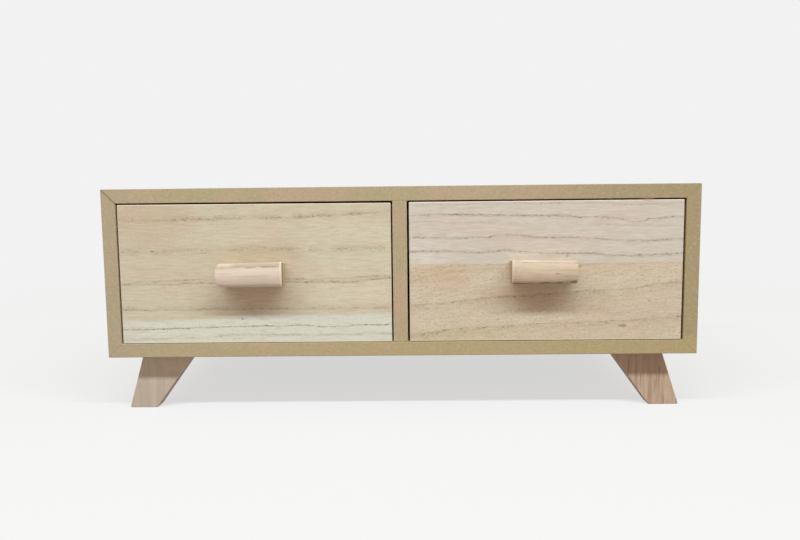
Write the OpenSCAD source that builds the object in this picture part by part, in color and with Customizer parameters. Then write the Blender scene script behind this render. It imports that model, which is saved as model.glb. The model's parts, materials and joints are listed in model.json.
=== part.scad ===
// Desktop mini drawers: a mitred fibreboard case on four splayed legs, with two wooden drawers side by side.
// Millimetres, +Z up, +X to the right, the drawers open towards -Y.
// The origin lies on the floor, at the centre of the whole object's footprint, handles included.

/* [Case] */
// Width of the case over its two side boards
case_w = 370; // [330:1:430]
// Height of the case, without its legs
case_h = 106; // [95:1:130]
// Depth of the case boards, without the back panel
case_d = 195; // [150:1:220]
// Thickness of the top, bottom and side boards
board_t = 9; // [8:0.5:12]
// Thickness of the divider between the two bays
divider_t = 9; // [8:0.5:12]
// Thickness of the back panel, pinned onto the rear edges
back_t = 3; // [2.5:0.5:4]

/* [Legs] */
// Height of the legs, from the floor to the case
leg_h = 35; // [30:1:45]
// Width of a leg where it meets the case
leg_top_w = 33; // [30:1:40]
// Width of a leg at the floor
leg_foot_w = 19; // [15:1:24]
// How far a foot stands out past the top of its leg, sideways
leg_splay = 11.5; // [6:0.5:14]
// Thickness of a leg from front to back
leg_t = 12; // [10:1:22]
// Distance from the case's end to the top of a leg
leg_inset_x = 19; // [15:1:30]
// Distance from the case's front or rear to a leg
leg_inset_y = 9.5; // [9:0.5:20]

/* [Drawer fronts] */
// Thickness of a drawer front
front_t = 9; // [8:0.5:12]
// Gap between a drawer front and the case, at each side
front_side_gap = 0.9; // [0.5:0.1:1.4]
// Gap between a drawer front and the top board
front_top_gap = 0.8; // [0.6:0.1:2]
// Gap between a drawer front and the bottom board
front_floor_gap = 0.4; // [0.3:0.1:0.9]
// Height of the right front's glue line above the middle of its handle
seam_above_handle = 4.5; // [3:0.5:20]

/* [Drawer boxes] */
// Thickness of the drawer sides and of the drawer back
side_t = 6; // [5:0.5:8]
// How far the drawer sides stop below the top of their front
side_drop = 12; // [5:1:25]
// Thickness of a drawer's bottom panel
bottom_t = 3; // [2.5:0.5:4]
// Depth of the rebates in a front that the drawer sides lie in
rebate = 5; // [4:0.5:6]
// How far a drawer side lies in from the edge of its front
box_inset = 0.5; // [0.2:0.1:1.5]
// Running gap between a drawer's bottom panel and the case
run_gap = 0.3; // [0.2:0.05:0.4]
// Gap between a closed drawer and the back panel
rear_gap = 0.5; // [0.3:0.1:2]

/* [Handles] */
// Diameter of the dowel that a handle is cut from
handle_d = 15; // [13:0.5:18]
// Length of a handle
handle_l = 41; // [32:1:60]
// Width of the flat that is planed along a handle's back
handle_flat = 6; // [5:0.5:9]
// Chamfer round a handle's ends
handle_chamfer = 0.5; // [0.2:0.1:1.2]
// How far the left handle sits off the middle of its front, to the right
left_handle_shift = -2; // [-4:0.5:4]
// How far the right handle sits off the middle of its front, to the right
right_handle_shift = -3; // [-4:0.5:4]

/* [Fixings] */
// Diameter of the panel pins
pin_d = 1.2; // [1:0.1:1.4]
// Diameter of a pin's head
pin_head_d = 2.2; // [1.8:0.1:2.6]
// Height of a pin's head
pin_head_h = 0.6; // [0.4:0.1:1]
// Length of the pins that hold the case together
case_pin_l = 20; // [16:1:24]
// Length of the pins in the back panel and at the drawers' corners
panel_pin_l = 14; // [12:1:16]
// Length of the pins that hold a drawer's bottom panel
bottom_pin_l = 11; // [9:1:14]
// Diameter of the leg screws
leg_screw_d = 3.5; // [3:0.5:4]
// Diameter of a leg screw's countersunk head
leg_screw_head_d = 7; // [6:0.5:8]
// Length of a leg screw
leg_screw_l = 25; // [20:1:28]
// Distance between the two screws of a leg
leg_screw_pitch = 10; // [9:0.5:11]
// Diameter of the handle screws
handle_screw_d = 3; // [2.5:0.5:3.5]
// Diameter of a handle screw's round head
handle_screw_head_d = 5.6; // [5:0.2:7]
// Height of a handle screw's head
handle_screw_head_h = 2; // [1.5:0.1:2.5]
// Length of a handle screw under its head
handle_screw_l = 18; // [14:1:19]
// Distance between the two screws of a handle
handle_screw_pitch = 20; // [12:1:24]
// Clearance around every pin and screw in its hole
fixing_fit = 0.03; // [0.01:0.01:0.1]

/* [Hidden] */

// Colours
mdf_colour = "#b3a079";
hardboard_colour = "#a68d63";
paulownia_colour = "#d2c3a3";
grey_paulownia_colour = "#d5c9b8";
dowel_colour = "#e3cdb1";
leg_colour = "#b7a28b";
steel_colour = "#b9bcc0";

// Places that the sizes above lead to
handle_axis = sqrt(pow(handle_d / 2, 2) - pow(handle_flat / 2, 2)); // from a front's face to the axis
handle_reach = handle_axis + handle_d / 2;
front_y = (handle_reach - case_d - back_t) / 2; // the case's front edges, and the drawer fronts' faces
rear_y = front_y + case_d;                      // the case boards' rear edges
case_z = leg_h;
case_top = case_z + case_h;
bay_z = case_z + board_t;
bay_h = case_h - 2 * board_t;
bay_w = (case_w - 2 * board_t - divider_t) / 2;
bay_x = (divider_t + bay_w) / 2;                // from the middle to the centre of a bay
front_w = bay_w - 2 * front_side_gap;
front_z = bay_z + front_floor_gap;
front_h = bay_h - front_floor_gap - front_top_gap;
box_w = front_w - 2 * box_inset;
box_z = bay_z + run_gap;
side_z = box_z + bottom_t;
side_h = front_z + front_h - side_drop - side_z;
side_y = front_y + front_t - rebate;            // the front ends of the drawer sides
box_y = front_y + front_t;                      // the back face of a drawer front
box_rear = rear_y - rear_gap;
inner_w = box_w - 2 * side_t;
handle_z = case_z + case_h / 2;
seam_h = handle_z + seam_above_handle - front_z; // the lower board of the right front
left_handle_x = left_handle_shift - bay_x;
right_handle_x = right_handle_shift + bay_x;

pin_edge = 8;          // from a board's front or rear edge to the first pin
pin_corner = 30;       // from a case corner to the first pin along the back panel
drawer_pin_edge = 12;  // from a drawer side's end or edge to the first pin
drill_past = 1;        // how far a cut runs past the face it opens
recess_w = 0.5;        // width of a screw's cross recess, as a share of its head
recess_depth = 0.6;    // depth of a screw's cross recess, as a share of its head
slot_w = 0.2;          // width of one of a recess's two slots, as a share of the recess
head_crown = 0.6;      // diameter of a round head's flat crown, as a share of the head

// Evenly spaced places from low to high, both included.
function spread(low, high, count) = [for (i = [0 : count - 1]) low + (high - low) * i / (count - 1)];

// Draws a front-view outline (X across, Z up) as a solid that starts at y and runs back by depth.
module along_depth(y, depth)
    translate([0, y + depth, 0]) rotate([90, 0, 0]) linear_extrude(depth) children();

// A panel pin that points down from the origin. Its head's upper face is at the origin.
// grow makes the hole for it: wider all round, and open at the head.
module pin(length, grow = 0) {
    translate([0, 0, -length - grow]) cylinder(d = pin_d + 2 * grow, h = length + grow, $fn = 20);
    translate([0, 0, -pin_head_h - grow])
        cylinder(d = pin_head_d + 2 * grow, h = pin_head_h + grow + (grow > 0 ? drill_past : 0), $fn = 20);
}

// The cross recess in a screw's head, cut down from the origin.
module cross_recess(head_d, head_h) {
    size = head_d * recess_w;
    depth = head_h * recess_depth;
    for (turn = [0, 90]) rotate([0, 0, turn])
        translate([-size / 2, -size * slot_w / 2, -depth]) cube([size, size * slot_w, depth + drill_past]);
}

// A pointed shank that hangs down from the origin.
module screw_shank(d, length, grow) {
    tip = d;
    translate([0, 0, tip - length]) cylinder(d = d + 2 * grow, h = length - tip, $fn = 32);
    translate([0, 0, -length]) cylinder(d1 = d / 4 + 2 * grow, d2 = d + 2 * grow, h = tip, $fn = 32);
}

// A countersunk screw that points down. Its head's flat face is at the origin.
module countersunk_screw(d, head_d, length, grow = 0) {
    cone_h = (head_d - d) / 2;
    difference() {
        union() {
            screw_shank(d, length, grow);
            translate([0, 0, -cone_h])
                cylinder(d1 = d + 2 * grow, d2 = head_d + 2 * grow, h = cone_h, $fn = 32);
            if (grow > 0) cylinder(d = head_d + 2 * grow, h = drill_past, $fn = 32);
        }
        if (grow == 0) cross_recess(head_d, cone_h);
    }
}

// A round-head screw that points down. The head's underside is at the origin.
module round_head_screw(d, head_d, head_h, length, grow = 0) {
    difference() {
        union() {
            screw_shank(d, length, grow);
            if (grow == 0) {
                cylinder(d = head_d, h = head_h / 2, $fn = 32);
                translate([0, 0, head_h / 2])
                    cylinder(d1 = head_d, d2 = head_d * head_crown, h = head_h / 2, $fn = 32);
            }
        }
        if (grow == 0) translate([0, 0, head_h]) cross_recess(head_d, head_h);
    }
}

// The pins of the case: through the side boards' mitres, and through the top and bottom into the divider.
module case_pin_set(grow = 0) {
    for (y = spread(front_y + pin_edge, rear_y - pin_edge, 3)) {
        for (side = [-1, 1], z = [case_z + board_t / 2, case_top - board_t / 2])
            translate([side * case_w / 2, y, z]) rotate([0, side * 90, 0]) pin(case_pin_l, grow);
        translate([0, y, case_top]) pin(case_pin_l, grow);
        translate([0, y, case_z]) rotate([180, 0, 0]) pin(case_pin_l, grow);
    }
}

// The pins of the back panel, driven forwards into the boards' rear edges.
module back_pin_set(grow = 0) {
    pin_y = rear_y + back_t;
    for (z = [case_z + board_t / 2, case_top - board_t / 2],
         x = spread(pin_corner - case_w / 2, case_w / 2 - pin_corner, 6))
        translate([x, pin_y, z]) rotate([-90, 0, 0]) pin(panel_pin_l, grow);
    for (x = [board_t / 2 - case_w / 2, 0, case_w / 2 - board_t / 2])
        translate([x, pin_y, case_z + case_h / 2]) rotate([-90, 0, 0]) pin(panel_pin_l, grow);
}

// The screws of one leg, from inside the case down into the leg. side is -1 for left and 1 for right.
module leg_screw_pair(side, y, grow = 0) {
    bite = leg_screw_l - board_t;
    lean_out = leg_splay * bite / leg_h / 2;
    lean_in = (leg_top_w + leg_splay - leg_foot_w) * bite / leg_h / 2;
    from_top_corner = (leg_top_w - lean_in - lean_out) / 2; // the leg's middle, half way down the screws
    for (step = [-0.5, 0.5])
        translate([side * (case_w / 2 - leg_inset_x - from_top_corner - step * leg_screw_pitch), y, bay_z])
            countersunk_screw(leg_screw_d, leg_screw_head_d, leg_screw_l, grow);
}

front_leg_y = front_y + leg_inset_y;
rear_leg_y = rear_y - leg_inset_y - leg_t;

module leg_screw_set(grow = 0)
    for (side = [-1, 1], y = [front_leg_y, rear_leg_y]) leg_screw_pair(side, y + leg_t / 2, grow);

// The two screws of a handle, from inside the drawer forwards into the handle.
module handle_screw_pair(x, grow = 0)
    for (step = [-0.5, 0.5])
        translate([x + step * handle_screw_pitch, box_y, handle_z]) rotate([-90, 0, 0])
            round_head_screw(
                handle_screw_d, handle_screw_head_d, handle_screw_head_h, handle_screw_l, grow
            );

// The pins at the corners of a drawer box, through its sides into the front and the back.
module box_corner_pins(x, grow = 0)
    for (side = [-1, 1], y = [box_y - rebate / 2, box_rear - side_t / 2],
         z = spread(side_z + drawer_pin_edge, side_z + side_h - drawer_pin_edge, 3))
        translate([x + side * box_w / 2, y, z]) rotate([0, side * 90, 0]) pin(panel_pin_l, grow);

// The pins under a drawer, up through its bottom panel into the sides and the back.
module box_bottom_pins(x, grow = 0) {
    for (side = [-1, 1], y = spread(box_y + drawer_pin_edge, box_rear - 2 * drawer_pin_edge, 4))
        translate([x + side * (box_w - side_t) / 2, y, box_z]) rotate([180, 0, 0]) pin(bottom_pin_l, grow);
    for (step = spread(2 * drawer_pin_edge - inner_w / 2, inner_w / 2 - 2 * drawer_pin_edge, 3))
        translate([x + step, box_rear - side_t / 2, box_z]) rotate([180, 0, 0]) pin(bottom_pin_l, grow);
}

// The top board's outline; the bottom board is the same, turned over. The ends are mitred at 45 degrees.
module long_board_outline()
    polygon([
        [-case_w / 2, 0], [case_w / 2, 0],
        [case_w / 2 - board_t, -board_t], [board_t - case_w / 2, -board_t]
    ]);

module top_board() color(mdf_colour) difference() {
    along_depth(front_y, case_d) translate([0, case_top]) long_board_outline();
    case_pin_set(fixing_fit);
    back_pin_set(fixing_fit);
}

module bottom_board() color(mdf_colour) difference() {
    along_depth(front_y, case_d) translate([0, case_z]) mirror([0, 1]) long_board_outline();
    case_pin_set(fixing_fit);
    back_pin_set(fixing_fit);
    leg_screw_set(fixing_fit);
}

// side is -1 for the left side board and 1 for the right one.
module side_board(side) color(mdf_colour) difference() {
    along_depth(front_y, case_d) polygon([
        [side * case_w / 2, case_z], [side * case_w / 2, case_top],
        [side * (case_w / 2 - board_t), case_top - board_t], [side * (case_w / 2 - board_t), bay_z]
    ]);
    case_pin_set(fixing_fit);
    back_pin_set(fixing_fit);
}

module centre_divider() color(mdf_colour) difference() {
    translate([-divider_t / 2, front_y, bay_z]) cube([divider_t, case_d, bay_h]);
    case_pin_set(fixing_fit);
    back_pin_set(fixing_fit);
}

module back_panel() color(hardboard_colour) difference() {
    translate([-case_w / 2, rear_y, case_z]) cube([case_w, back_t, case_h]);
    back_pin_set(fixing_fit);
}

// A leg with straight edges, wide at the case and narrow at the floor, that leans outwards.
module leg(side, y) color(leg_colour) difference() {
    top_x = case_w / 2 - leg_inset_x;
    foot_x = top_x + leg_splay;
    along_depth(y, leg_t) polygon([
        [side * top_x, case_z], [side * (top_x - leg_top_w), case_z],
        [side * (foot_x - leg_foot_w), 0], [side * foot_x, 0]
    ]);
    leg_screw_pair(side, y + leg_t / 2, fixing_fit);
}

// One board of a drawer front, with a rebate at each end for the drawer sides.
module front_board(x, handle_x, z, height) difference() {
    translate([x - front_w / 2, front_y, z]) cube([front_w, front_t, height]);
    for (turn = [0, 1]) translate([x, side_y, z - drill_past]) mirror([turn, 0, 0])
        translate([inner_w / 2, 0, 0]) cube([front_w, rebate + drill_past, height + 2 * drill_past]);
    box_corner_pins(x, fixing_fit);
    handle_screw_pair(handle_x, fixing_fit);
}

module left_front_board() color(paulownia_colour)
    front_board(-bay_x, left_handle_x, front_z, front_h);

module right_front_lower_board() color(paulownia_colour)
    front_board(bay_x, right_handle_x, front_z, seam_h);

module right_front_upper_board() color(grey_paulownia_colour)
    front_board(bay_x, right_handle_x, front_z + seam_h, front_h - seam_h);

// side is -1 for a drawer's left side and 1 for its right one.
module drawer_side(x, side) color(paulownia_colour) difference() {
    translate([x + side * (box_w - side_t) / 2 - side_t / 2, side_y, side_z])
        cube([side_t, box_rear - side_y, side_h]);
    box_corner_pins(x, fixing_fit);
    box_bottom_pins(x, fixing_fit);
}

module drawer_back(x) color(paulownia_colour) difference() {
    translate([x - inner_w / 2, box_rear - side_t, side_z]) cube([inner_w, side_t, side_h]);
    box_corner_pins(x, fixing_fit);
    box_bottom_pins(x, fixing_fit);
}

module drawer_bottom(x) color(hardboard_colour) difference() {
    translate([x - box_w / 2, box_y, box_z]) cube([box_w, box_rear - box_y, bottom_t]);
    box_bottom_pins(x, fixing_fit);
}

// A short dowel that lies across the front, flat at the back and chamfered at both ends.
module handle(x) color(dowel_colour) difference() {
    translate([x, front_y - handle_axis, handle_z]) rotate([0, 90, 0]) {
        cylinder(d = handle_d, h = handle_l - 2 * handle_chamfer, center = true, $fn = 64);
        for (end = [0, 1]) mirror([0, 0, end]) translate([0, 0, handle_l / 2 - handle_chamfer])
            cylinder(d1 = handle_d, d2 = handle_d - 2 * handle_chamfer, h = handle_chamfer, $fn = 64);
    }
    translate([x - handle_l / 2 - drill_past, front_y, handle_z - handle_d])
        cube([handle_l + 2 * drill_past, handle_d, 2 * handle_d]);
    handle_screw_pair(x, fixing_fit);
}

module case_pins() color(steel_colour) case_pin_set();
module back_panel_pins() color(steel_colour) back_pin_set();
module leg_screws() color(steel_colour) leg_screw_set();
module handle_screws(x) color(steel_colour) handle_screw_pair(x);
module drawer_pins(x) color(steel_colour) {
    box_corner_pins(x);
    box_bottom_pins(x);
}

top_board();
bottom_board();
side_board(-1);  // left_side_board
side_board(1);  // right_side_board
centre_divider();
back_panel();
leg(-1, front_leg_y);  // front_left_leg
leg(1, front_leg_y);  // front_right_leg
leg(-1, rear_leg_y);  // rear_left_leg
leg(1, rear_leg_y);  // rear_right_leg
case_pins();
back_panel_pins();
leg_screws();
left_front_board();
drawer_side(-bay_x, -1);  // left_drawer_left_side
drawer_side(-bay_x, 1);  // left_drawer_right_side
drawer_back(-bay_x);  // left_drawer_back
drawer_bottom(-bay_x);  // left_drawer_bottom
handle(left_handle_x);  // left_handle
handle_screws(left_handle_x);  // left_handle_screws
drawer_pins(-bay_x);  // left_drawer_pins
right_front_upper_board();
right_front_lower_board();
drawer_side(bay_x, -1);  // right_drawer_left_side
drawer_side(bay_x, 1);  // right_drawer_right_side
drawer_back(bay_x);  // right_drawer_back
drawer_bottom(bay_x);  // right_drawer_bottom
handle(right_handle_x);  // right_handle
handle_screws(right_handle_x);  // right_handle_screws
drawer_pins(bay_x);  // right_drawer_pins
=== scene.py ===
import json
import math
import bmesh
import bpy
import numpy as np
from mathutils import Matrix, Vector


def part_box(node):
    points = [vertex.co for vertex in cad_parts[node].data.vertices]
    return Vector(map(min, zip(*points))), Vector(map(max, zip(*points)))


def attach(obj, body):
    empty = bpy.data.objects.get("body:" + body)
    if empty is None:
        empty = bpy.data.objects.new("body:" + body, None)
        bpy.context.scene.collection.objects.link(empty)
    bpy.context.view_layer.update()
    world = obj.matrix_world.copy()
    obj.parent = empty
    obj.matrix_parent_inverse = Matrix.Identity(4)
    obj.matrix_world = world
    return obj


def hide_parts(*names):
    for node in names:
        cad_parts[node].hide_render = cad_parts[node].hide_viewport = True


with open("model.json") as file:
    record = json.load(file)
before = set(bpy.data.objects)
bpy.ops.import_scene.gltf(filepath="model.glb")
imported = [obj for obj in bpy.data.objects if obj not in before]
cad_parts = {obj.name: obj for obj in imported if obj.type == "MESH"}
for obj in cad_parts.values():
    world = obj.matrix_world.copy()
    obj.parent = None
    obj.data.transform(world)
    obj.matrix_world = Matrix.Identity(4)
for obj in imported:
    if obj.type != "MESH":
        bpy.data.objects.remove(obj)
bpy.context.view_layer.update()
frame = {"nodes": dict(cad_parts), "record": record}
scene = bpy.context.scene
scene.view_settings.view_transform = "Standard"
print("frame loaded:", len(frame["nodes"]), "nodes")

millimetre = 0.001
slotOfNode = {part["node"]: part["material_slot"] for part in frame["record"]["subparts"]}
bodyOfNode = {
    node: body for body, nodes in frame["record"]["behaviour"]["bodies"].items() for node in nodes
}


def boxOf(node):
    # lowest and highest corner of a node at rest, in millimetres
    low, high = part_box(node)
    return np.array(low) / millimetre, np.array(high) / millimetre


def faceOf(*nodes):
    # the middle and half size of what several nodes show together from the front
    boxes = np.array([boxOf(node) for node in nodes])
    low, high = boxes[:, 0].min(axis=0), boxes[:, 1].max(axis=0)
    middle, half = (low + high) / 2, (high - low) / 2
    return {"x": middle[0], "z": middle[2], "wide": half[0], "high": half[2]}


caseLow = boxOf("bottom_board")[0]
caseHigh = boxOf("top_board")[1]
caseMiddle = (caseLow + caseHigh) / 2
boardThickness = caseHigh[2] - boxOf("top_board")[0][2]

# The three ways an outline can lie: where its across, up and path directions point.
frontView = np.array([[1, 0, 0], [0, 0, 1], [0, -1, 0]], float)
planView = np.array([[1, 0, 0], [0, 1, 0], [0, 0, 1]], float)
sideView = np.array([[0, 1, 0], [0, 0, 1], [1, 0, 0]], float)

cornerSteps = 3        # faces in the rounding of a corner, or of an end's edge
heldCosine = 0.999     # how nearly an edge has to face a direction to be held back by it
sameSpot = 0.0001      # points nearer to each other than this, in millimetres, become one


def edgeNormals(outline):
    # outward normal of the edge that leaves each point: the edge turned a quarter clockwise
    along = np.roll(outline, -1, axis=0) - outline
    along /= np.linalg.norm(along, axis=1, keepdims=True)
    return np.stack([along[:, 1], -along[:, 0]], axis=1)


def softened(corners, radius, steps=cornerSteps):
    # Rounds each corner. The arc's centre lies radius * mitre inside the corner, and the arc is the
    # centre plus radius times the unit normals that turn from one edge to the next.
    corners = np.array(corners, float)
    radius = np.broadcast_to(np.array(radius, float), len(corners))[:, None]
    after = edgeNormals(corners)
    before = np.roll(after, 1, axis=0)
    mitre = (before + after) / (1 + (before * after).sum(axis=1, keepdims=True))
    start = np.arctan2(before[:, 1], before[:, 0])
    turn = (np.arctan2(after[:, 1], after[:, 0]) - start + np.pi) % (2 * np.pi) - np.pi
    share = np.linspace(0, 1, steps + 1)
    angle = start[:, None] + turn[:, None] * share
    arc = np.stack([np.cos(angle), np.sin(angle)], axis=2)
    points = (corners - radius * mitre)[:, None] + radius[:, :, None] * arc
    return points[(radius > 0) | (share == 0)]     # a corner of radius 0 keeps one point


def rectangle(low, high):
    # the corners of an upright rectangle, counterclockwise
    return np.array([[low[0], low[1]], [high[0], low[1]], [high[0], high[1]], [low[0], high[1]]])


def carriedSolid(name, outline, view, low, high, easeLow, easeHigh, held=(), warp=None):
    # An outline carried along a straight path from low to high. Near an end it is drawn in by
    # ease * (1 - cos t) while the path runs on by ease * sin t, so the end's edge is a quarter round.
    # held gives (direction, weight) pairs: edges that face that way are drawn in by weight times that.
    # A corner moves inwards to where its two edges, each drawn in by its own weight, meet again.
    if view is frontView:
        low, high, easeLow, easeHigh = -high, -low, easeHigh, easeLow
    normals = edgeNormals(outline)
    weight = np.ones(len(outline))
    for direction, share in held:
        weight[normals @ (np.array(direction) / np.hypot(*direction)) > heldCosine] = share
    before, weightBefore = np.roll(normals, 1, axis=0), np.roll(weight, 1)
    cross = before[:, 0] * normals[:, 1] - before[:, 1] * normals[:, 0]
    bent = np.abs(cross) > 1e-6        # elsewhere the outline runs straight on, and cross is no divisor
    cross = np.where(bent, cross, 1)
    inward = np.stack([
        np.where(bent, (weightBefore * normals[:, 1] - weight * before[:, 1]) / cross, normals[:, 0]),
        np.where(bent, (weight * before[:, 0] - weightBefore * normals[:, 0]) / cross, normals[:, 1]),
    ], axis=1)
    t = np.linspace(np.pi / 2, 0, cornerSteps + 1)
    drawnIn = np.concatenate([easeLow * (1 - np.cos(t)), easeHigh * (1 - np.cos(t[::-1]))])
    travel = np.concatenate([low + easeLow * (1 - np.sin(t)), high - easeHigh * (1 - np.sin(t[::-1]))])
    flat = outline[None] - drawnIn[:, None, None] * inward[None]
    travel = np.broadcast_to(travel[:, None, None], (*flat.shape[:2], 1))
    points = np.concatenate([flat, travel], axis=2) @ view
    return strungSolid(name, points if warp is None else warp(points))


def strungSolid(name, points):
    # points[ring, spot] are closed rings, each joined to the next, with a flat face on either end
    rings, count = points.shape[:2]
    ring, spot = np.meshgrid(np.arange(rings - 1), np.arange(count), indexing="ij")
    beside = (spot + 1) % count
    quads = np.stack([
        ring * count + spot, ring * count + beside, (ring + 1) * count + beside, (ring + 1) * count + spot
    ], axis=2).reshape(-1, 4)
    caps = [np.arange(count)[::-1], np.arange(count) + (rings - 1) * count]
    return meshPiece(name, points.reshape(-1, 3), [*quads.tolist(), *(cap.tolist() for cap in caps)])


def meshPiece(name, points, faces):
    # points are in millimetres; doubles at tight corners are merged, so that every seam is closed
    mesh = bpy.data.meshes.new(name)
    mesh.from_pydata((points * millimetre).tolist(), [], faces)
    solid = bmesh.new()
    solid.from_mesh(mesh)
    bmesh.ops.remove_doubles(solid, verts=solid.verts, dist=sameSpot * millimetre)
    solid.to_mesh(mesh)
    solid.free()
    mesh.validate()
    piece = bpy.data.objects.new(name, mesh)
    scene.collection.objects.link(piece)
    return piece


def smoothed(piece, degrees):
    # smooth shading, but an edge that turns by more than the given angle stays crisp
    piece.data.shade_smooth()
    piece.data.set_sharp_from_angle(angle=math.radians(degrees))
    return piece


def standsFor(piece, node, finish):
    # a finished piece takes its node's place and body, with the finish as its material
    piece.data.materials.append(finish)
    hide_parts(node)
    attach(piece, bodyOfNode[node])


def colour(text):
    # a colour as it is seen, such as "#b3a079", as the linear values that a shader takes
    seen = np.array([int(text[i:i + 2], 16) for i in (1, 3, 5)]) / 255
    linear = np.where(seen <= 0.04045, seen / 12.92, ((seen + 0.055) / 1.055) ** 2.4)
    return (*linear.tolist(), 1)


class Wire:
    # one output socket; the operators add Math nodes
    def __init__(self, shading, socket):
        self.shading = shading
        self.socket = socket

    def __add__(self, other):
        return self.shading.math("ADD", self, other)

    def __sub__(self, other):
        return self.shading.math("SUBTRACT", self, other)

    def __rsub__(self, other):
        return self.shading.math("SUBTRACT", other, self)

    def __mul__(self, other):
        return self.shading.math("MULTIPLY", self, other)

    def __truediv__(self, other):
        return self.shading.math("DIVIDE", self, other)

    def __rtruediv__(self, other):
        return self.shading.math("DIVIDE", other, self)

    def __abs__(self):
        return self.shading.math("ABSOLUTE", self)

    __radd__ = __add__
    __rmul__ = __mul__


class Shading:
    # the nodes of one material, or of the world
    def __init__(self, owner):
        owner.use_nodes = True
        self.owner = owner
        self.tree = owner.node_tree

    def feed(self, node, values):
        # a wire is linked, a text such as "#b3a079" is a colour, and a number or tuple is set as it is
        for key, value in dict(values).items():
            if isinstance(value, Wire):
                self.tree.links.new(value.socket, node.inputs[key])
            else:
                node.inputs[key].default_value = colour(value) if isinstance(value, str) else value

    def add(self, kind, settings=(), values=(), out=0):
        # a node of any kind; points are the (x, y) points of a curve, the first and the last included
        node = self.tree.nodes.new("ShaderNode" + kind)
        for key, value in dict(settings).items():
            if key == "points":
                curve = node.mapping.curves[0]
                for point, place in zip(curve.points, (value[0], value[-1])):
                    point.location = place
                for place in value[1:-1]:
                    curve.points.new(*place)
                node.mapping.update()
            else:
                setattr(node, key, value)
        self.feed(node, values)
        return Wire(self, node.outputs[out])

    def math(self, operation, *values):
        return self.add("Math", {"operation": operation}, dict(enumerate(values)))

    def most(self, first, second):
        return self.math("MAXIMUM", first, second)

    def spot(self):
        # the point on the piece in millimetres, as three wires
        place = self.add("TexCoord", out="Object")
        scaled = self.add("VectorMath", {"operation": "SCALE"}, {0: place, "Scale": 1 / millimetre})
        return [self.add("SeparateXYZ", values={0: scaled}, out=axis) for axis in range(3)]

    def beyond(self, spot, face):
        # how far a point lies outside a face seen from the front: 0 on its outline, below 0 within it
        return self.most(abs(spot[0] - face["x"]) - face["wide"], abs(spot[2] - face["z"]) - face["high"])

    def course(self, wire, path):
        # the height of a line that passes smoothly through the points of path, read at wire; the curve
        # spans the points' box and a margin of half a millimetre
        places = np.array(path, float)
        low, high = places.min(axis=0) - 0.5, places.max(axis=0) + 0.5
        steps = [tuple(place) for place in ((places - low) / (high - low)).tolist()]
        height = self.add("FloatCurve", {"points": steps}, {
            "Factor": 1.0, "Value": (wire - low[0]) / (high[0] - low[0])
        })
        return height * (high[1] - low[1]) + low[1]

    def finish(self, tint, roughness, relief, depth, metallic=0.0):
        # relief is a height from 0 to 1 that stands for depth millimetres
        bump = self.add("Bump", values={"Strength": 1.0, "Distance": depth * millimetre, "Height": relief})
        self.feed(self.tree.nodes["Principled BSDF"], {
            "Base Color": tint, "Roughness": roughness, "Normal": bump, "Metallic": metallic
        })
        return self.owner


def newShading(name):
    return Shading(bpy.data.materials.new(name))


def noise(place, size, detail=2.0, roughness=0.5, shift=0.0):
    # 0 to 1, in spots of the given size in millimetres along each wire of place
    shading = place[0].shading
    stretched = [wire / width + shift for wire, width in zip(place, size)]
    vector = shading.add("CombineXYZ", values=dict(enumerate(stretched)))
    return shading.add("TexNoise", values={
        "Vector": vector, "Scale": 1.0, "Detail": detail, "Roughness": roughness
    })


def ramp(wire, low, high, start=0.0, end=1.0):
    # start at low and before it, end at high and beyond it, and an S-curve between them
    return wire.shading.add("MapRange", {"interpolation_type": "SMOOTHSTEP"}, {
        0: wire, "From Min": low, "From Max": high, "To Min": start, "To Max": end
    })


def blend(share, first, second):
    # the first colour where share is 0, the second where it is 1 or more
    return share.shading.add(
        "Mix", {"data_type": "RGBA", "clamp_factor": True}, {0: share, 6: first, 7: second}, out=2
    )


def patched(tint, spot, patches, waver, core, end):
    # Lays patches over a tint, each given by its x and z, half width, half height, strength and colour.
    # far is the squared distance from its middle, in units of its half width and half height, plus
    # waver: it is at its strength up to core, and ends at end.
    for x, z, wide, high, strength, own in patches:
        across, up = (spot[0] - x) / wide, (spot[2] - z) / high
        far = across * across + up * up + waver
        tint = blend(ramp(far, core, end, strength, 0.0), tint, own)
    return tint


# The camera stands level with the case's top. The distance is from the case's front edges, the
# lengths are in millimetres and the turns in radians.
cameraFit = {
    "aside": 7.36, "distance": 480.0, "pitch": 0.1108, "yaw": -0.0155, "roll": 0.0108,
    "focalPixels": 777.3, "downPixels": 2.6, "pictureWidth": 800, "filmWidth": 36.0, "nearest": 10.0,
}


def makeCamera(fit):
    # the view direction turns by yaw and dips by pitch; right and up then turn by roll about it
    pitch, yaw, roll = fit["pitch"], fit["yaw"], fit["roll"]
    forward = np.array([
        math.sin(yaw) * math.cos(pitch), math.cos(yaw) * math.cos(pitch), -math.sin(pitch)
    ])
    level = np.array([math.cos(yaw), -math.sin(yaw), 0])
    upright = np.cross(level, forward)
    right = math.cos(roll) * level - math.sin(roll) * upright
    up = math.sin(roll) * level + math.cos(roll) * upright
    place = np.array([fit["aside"], caseLow[1] - fit["distance"], caseHigh[2]]) * millimetre
    data = bpy.data.cameras.new("camera")
    data.sensor_width = fit["filmWidth"]
    data.lens = fit["focalPixels"] * fit["filmWidth"] / fit["pictureWidth"]
    data.shift_y = fit["downPixels"] / fit["pictureWidth"]
    data.clip_start = fit["nearest"] * millimetre
    camera = bpy.data.objects.new("camera", data)
    turn = Matrix(np.stack([right, up, -forward], axis=1).tolist()).to_4x4()
    camera.matrix_world = Matrix.Translation(Vector(place)) @ turn
    scene.collection.objects.link(camera)
    scene.camera = camera


makeCamera(cameraFit)
print("camera placed")

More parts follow.
